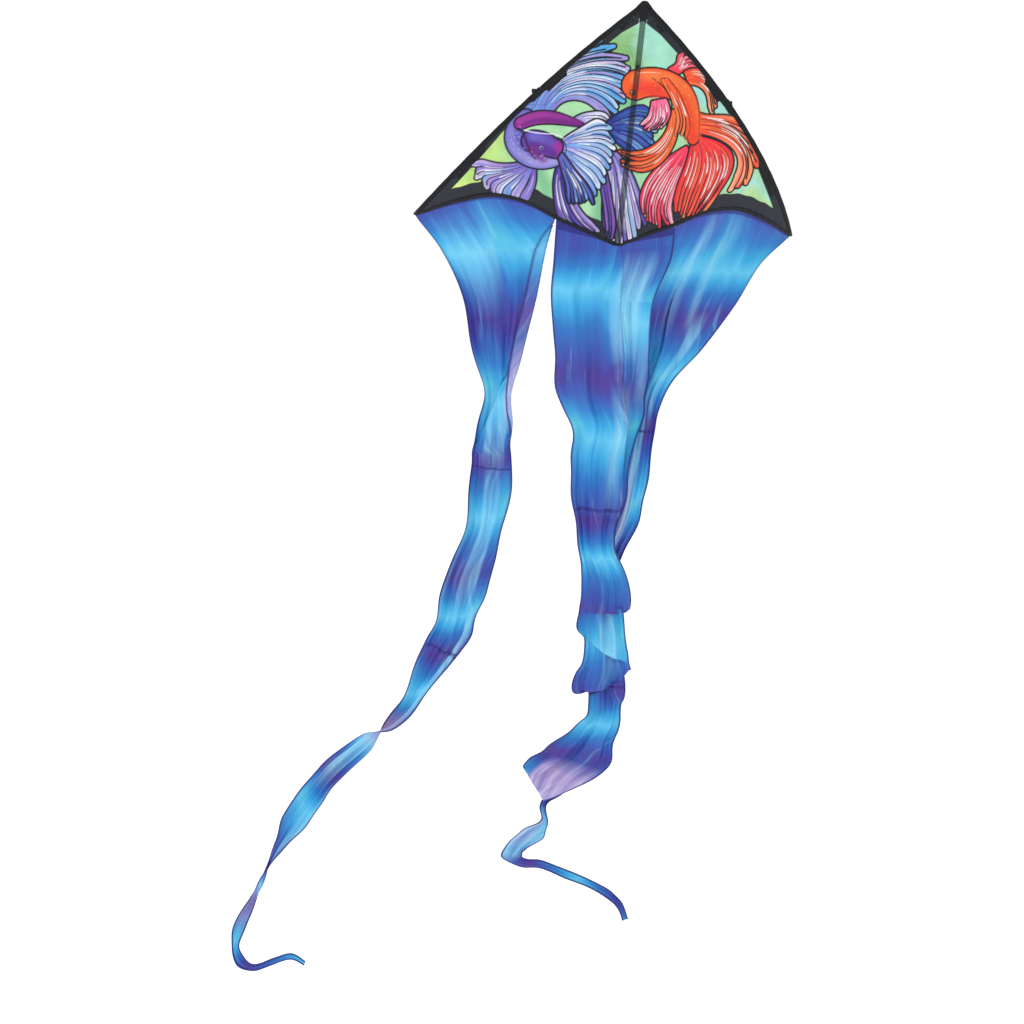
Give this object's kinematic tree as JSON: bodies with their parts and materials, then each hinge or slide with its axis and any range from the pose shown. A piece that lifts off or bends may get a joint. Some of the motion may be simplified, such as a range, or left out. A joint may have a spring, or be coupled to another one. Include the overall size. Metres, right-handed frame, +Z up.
{
  "type": "delta kite",
  "caption": "Single-line delta kite with a diamond-like printed sail, rod frame, removable spreader and flowing cloth tails.",
  "frame": {"origin": "centre of the upper tow ring, in front of the spine", "axes": "+Z up along the spine towards the nose, -Y is the way the printed face looks, +X towards the right wing as seen from the front"},
  "size_m": [0.9311, 0.1929, 1.971],
  "materials": {
    "printed_cloth": "semi-sheer printed ripstop polyester with a low sheen",
    "border_cloth": "black ripstop polyester",
    "tail_cloth": "sheer dyed polyester with a silky sheen",
    "rod": "pultruded fibreglass, satin",
    "vinyl": "soft black vinyl",
    "ring_plastic": "moulded nylon"
  },
  "bodies": {
    "frame": {"spine": "rod", "spine_pocket": "border_cloth", "spine_end_cap": "vinyl", "nose_patch": "border_cloth", "tow_ring_upper": "ring_plastic", "tow_ring_lower": "ring_plastic", "tail_centre_gore_left": "tail_cloth", "tail_centre_gore_right": "tail_cloth"},
    "left_wing": {"sail_left": "printed_cloth", "trailing_hem_left": "border_cloth", "leading_edge_sleeve_left": "border_cloth", "leading_edge_spar_left": "rod", "spar_end_cap_left": "vinyl", "fitting_patch_left": "border_cloth", "tip_patch_left": "border_cloth"},
    "right_wing": {"sail_right": "printed_cloth", "trailing_hem_right": "border_cloth", "leading_edge_sleeve_right": "border_cloth", "leading_edge_spar_right": "rod", "spar_end_cap_right": "vinyl", "fitting_patch_right": "border_cloth", "tip_patch_right": "border_cloth"},
    "spreader_assembly": {"spreader": "rod", "spreader_clip_left": "vinyl", "spreader_clip_right": "vinyl"},
    "left_tail_top": {"tail_left_top": "tail_cloth"},
    "left_tail_middle": {"tail_left_middle": "tail_cloth"},
    "left_tail_end": {"tail_left_end": "tail_cloth"},
    "centre_tail_top": {"tail_centre_top": "tail_cloth"},
    "centre_tail_end": {"tail_centre_end": "tail_cloth"},
    "right_tail_top": {"tail_right_top": "tail_cloth"},
    "right_tail_end": {"tail_right_end": "tail_cloth"}
  },
  "joints": [
    {"name": "left_wing_fold", "type": "hinge", "parent": "frame", "child": "left_wing", "pos_m": [-0.0075, 0.006, -0.1], "axis": [0, 0, -1], "range_deg": [0, 66]},
    {"name": "right_wing_fold", "type": "hinge", "parent": "frame", "child": "right_wing", "pos_m": [0.0075, 0.006, -0.1], "axis": [0, 0, 1], "range_deg": [0, 66]},
    {"name": "spreader_release", "type": "slide", "parent": "frame", "child": "spreader_assembly", "axis": [0, 1, 0], "range_m": [0, 0.262]},
    {"name": "left_tail_swing", "type": "hinge", "parent": "left_wing", "child": "left_tail_top", "pos_m": [-0.24, 0.07873, -0.312], "axis": [-0.945, 0.312, -0.0983], "range_deg": [-30, 30]},
    {"name": "left_tail_middle_bend", "type": "hinge", "parent": "left_tail_top", "child": "left_tail_middle", "pos_m": [-0.18, 0.06, -0.7875], "axis": [-0.9172, 0.3931, -0.0655], "range_deg": [-25, 25]},
    {"name": "left_tail_end_bend", "type": "hinge", "parent": "left_tail_middle", "child": "left_tail_end", "pos_m": [-0.235, 0.0775, -1.1525], "axis": [-0.9396, 0.3356, -0.0671], "range_deg": [-30, 30]},
    {"name": "centre_tail_swing", "type": "hinge", "parent": "frame", "child": "centre_tail_top", "pos_m": [-0.0165, 0.01, -0.44], "axis": [-1, 0, 0], "range_deg": [0, 30]},
    {"name": "centre_tail_end_bend", "type": "hinge", "parent": "centre_tail_top", "child": "centre_tail_end", "pos_m": [0.02, 0.009, -0.845], "axis": [-1, 0, 0], "range_deg": [0, 30]},
    {"name": "right_tail_swing", "type": "hinge", "parent": "right_wing", "child": "right_tail_top", "pos_m": [0.24, 0.07873, -0.312], "axis": [-0.945, -0.312, 0.0983], "range_deg": [-35, 0]},
    {"name": "right_tail_end_bend", "type": "hinge", "parent": "right_tail_top", "child": "right_tail_end", "pos_m": [0.0975, 0.035, -0.695], "axis": [-0.9762, 0.2169, 0], "range_deg": [-30, 0]}
  ],
  "couplings": [
    {"joint": "right_wing_fold", "follows": "left_wing_fold", "ratio": 1},
    {"joint": "spreader_release", "follows": "left_wing_fold", "m_per_rad": 0.227}
  ]
}
